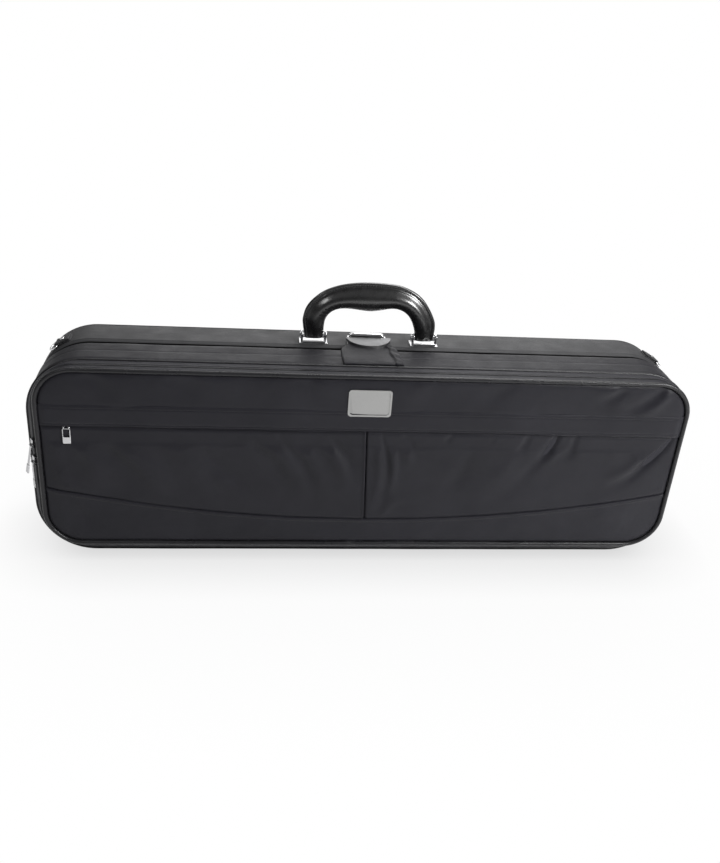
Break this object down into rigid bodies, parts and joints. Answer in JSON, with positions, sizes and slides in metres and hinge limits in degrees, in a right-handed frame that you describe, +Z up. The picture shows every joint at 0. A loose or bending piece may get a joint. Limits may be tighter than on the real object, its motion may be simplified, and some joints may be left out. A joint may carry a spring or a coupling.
{
  "type": "violin case",
  "caption": "Oblong violin case covered in dark nylon, with a hinged lid, a zipped music pocket, a folding leather handle, a closure flap and D-rings for a strap.",
  "frame": {"origin": "on the resting surface, under the middle of the case as it stands on its hinge spine", "axes": "+X along the length, +Y to the back of the case, +Z up; the lid and music pocket face -Y"},
  "size_m": [0.8042, 0.139, 0.3325],
  "materials": {
    "nylon_shell": "woven nylon with a faint sheen",
    "nylon_front": "woven nylon, light wrinkles",
    "piping": "woven tape over a cord",
    "zip_tape": "zip tape and coil",
    "foam": "rigid foam",
    "plush": "short pile plush",
    "webbing": "woven webbing",
    "chrome": "polished",
    "satin_metal": "satin",
    "zip_metal": "dark nickel",
    "leather": "smooth with a soft gloss",
    "moulding": "moulded, satin"
  },
  "bodies": {
    "case_body": {"body_cover": "nylon_shell", "body_shell": "foam", "body_lining": "plush", "bed_floor": "plush", "bed_upper": "plush", "bed_lower": "plush", "suspension_pads": "plush", "neck_cradle": "plush", "neck_strap": "webbing", "accessory_box": "plush", "hinge_leaves_body": "satin_metal", "hinge_pins": "chrome", "main_zip_body": "zip_tape", "handle_brackets": "chrome", "handle_pins": "chrome", "handle_rivets": "chrome", "latch_base": "satin_metal", "d_ring_tabs": "webbing", "tab_rivets": "chrome"},
    "lid": {"lid_cover": "nylon_shell", "lid_shell": "foam", "lid_lining": "plush", "rain_flap": "nylon_shell", "lid_rim_piping": "piping", "pocket_gusset_rear": "nylon_shell", "pocket_zip_rear": "zip_tape", "hinge_leaves_lid": "satin_metal", "main_zip_lid": "zip_tape", "bow_tip_pockets": "webbing", "spinner_posts": "moulding"},
    "pocket_panel": {"panel_board": "nylon_front", "panel_piping": "piping", "pocket_gusset_front": "nylon_shell", "pocket_zip_front": "zip_tape", "pocket_cloth_left": "nylon_front", "pocket_cloth_right": "nylon_front", "panel_yoke": "nylon_front", "panel_top_cloth": "nylon_front", "front_zip_flap": "nylon_front", "front_zip": "zip_tape", "name_plate": "satin_metal"},
    "closure_tab": {"closure_flap": "nylon_front", "clasp_plate": "satin_metal"},
    "front_zip_slider": {"front_zip_slider": "zip_metal"},
    "front_zip_pull": {"front_zip_pull": "chrome"},
    "pocket_slider_upper": {"pocket_slider_upper": "zip_metal"},
    "pocket_pull_upper": {"pocket_pull_upper": "zip_metal"},
    "pocket_slider_lower": {"pocket_slider_lower": "zip_metal"},
    "pocket_pull_lower": {"pocket_pull_lower": "zip_metal"},
    "main_slider_left": {"main_slider_left": "zip_metal"},
    "main_slider_right": {"main_slider_right": "zip_metal"},
    "latch_button": {"latch_button": "chrome"},
    "d_ring_left": {"d_ring_left": "chrome"},
    "d_ring_right": {"d_ring_right": "chrome"},
    "handle": {"handle_grip": "leather"},
    "accessory_cover": {"accessory_lid": "plush", "accessory_tab": "webbing"},
    "bow_spinner_upper": {"bow_spinner_upper": "moulding"},
    "bow_spinner_lower": {"bow_spinner_lower": "moulding"}
  },
  "joints": [
    {"name": "lid_hinge", "type": "hinge", "parent": "case_body", "child": "lid", "pos_m": [0, -0.002, 0.0023], "axis": [1, 0, 0], "range_deg": [0, 100]},
    {"name": "pocket_hinge", "type": "hinge", "parent": "lid", "child": "pocket_panel", "pos_m": [0, -0.055, 0.01358], "axis": [1, 0, 0], "range_deg": [0, 80]},
    {"name": "closure_hinge", "type": "hinge", "parent": "lid", "child": "closure_tab", "pos_m": [0, -0.028, 0.25725], "axis": [1, 0, 0], "range_deg": [0, 120]},
    {"name": "handle_pivot", "type": "hinge", "parent": "case_body", "child": "handle", "pos_m": [0, 0.033, 0.266], "axis": [-1, 0, 0], "range_deg": [-75, 75]},
    {"name": "latch_press", "type": "slide", "parent": "case_body", "child": "latch_button", "axis": [0, 0, -1], "range_m": [0, 0.002], "stiffness_N_per_m": 800},
    {"name": "front_zip_run", "type": "slide", "parent": "pocket_panel", "child": "front_zip_slider", "axis": [1, 0, 0], "range_m": [0, 0.7]},
    {"name": "front_pull_swing", "type": "hinge", "parent": "front_zip_slider", "child": "front_zip_pull", "pos_m": [-0.352, -0.06735, 0.183], "axis": [-1, 0, 0], "range_deg": [0, 90]},
    {"name": "pocket_zip_upper_run", "type": "slide", "parent": "lid", "child": "pocket_slider_upper", "axis": [0, 0, 1], "range_m": [0, 0.033]},
    {"name": "pocket_pull_upper_swing", "type": "hinge", "parent": "pocket_slider_upper", "child": "pocket_pull_upper", "pos_m": [-0.39582, -0.05743, 0.152], "axis": [-0.5283, 0.8491, 0], "range_deg": [-3, 76]},
    {"name": "pocket_zip_lower_run", "type": "slide", "parent": "lid", "child": "pocket_slider_lower", "axis": [0, 0, -1], "range_m": [0, 0.06]},
    {"name": "pocket_pull_lower_swing", "type": "hinge", "parent": "pocket_slider_lower", "child": "pocket_pull_lower", "pos_m": [-0.39582, -0.05743, 0.13], "axis": [-0.5283, 0.8491, 0], "range_deg": [0, 20]},
    {"name": "main_zip_left_run", "type": "slide", "parent": "case_body", "child": "main_slider_left", "axis": [-1, 0, 0], "range_m": [0, 0.29]},
    {"name": "main_zip_right_run", "type": "slide", "parent": "case_body", "child": "main_slider_right", "axis": [1, 0, 0], "range_m": [0, 0.29]},
    {"name": "d_ring_right_swing", "type": "hinge", "parent": "case_body", "child": "d_ring_right", "pos_m": [0.37534, 0.034, 0.24348], "axis": [0, -1, 0], "range_deg": [0, 120]},
    {"name": "d_ring_left_swing", "type": "hinge", "parent": "case_body", "child": "d_ring_left", "pos_m": [-0.37534, 0.034, 0.24348], "axis": [0, 1, 0], "range_deg": [0, 120]},
    {"name": "accessory_hinge", "type": "hinge", "parent": "case_body", "child": "accessory_cover", "pos_m": [0.241, 0.0054, 0.128], "axis": [0, 0, -1], "range_deg": [0, 12]},
    {"name": "bow_spinner_upper_turn", "type": "hinge", "parent": "lid", "child": "bow_spinner_upper", "pos_m": [0.205, -0.015, 0.164], "axis": [0, 1, 0], "range_deg": [0, 90]},
    {"name": "bow_spinner_lower_turn", "type": "hinge", "parent": "lid", "child": "bow_spinner_lower", "pos_m": [0.205, -0.015, 0.092], "axis": [0, 1, 0], "range_deg": [0, 90]}
  ]
}
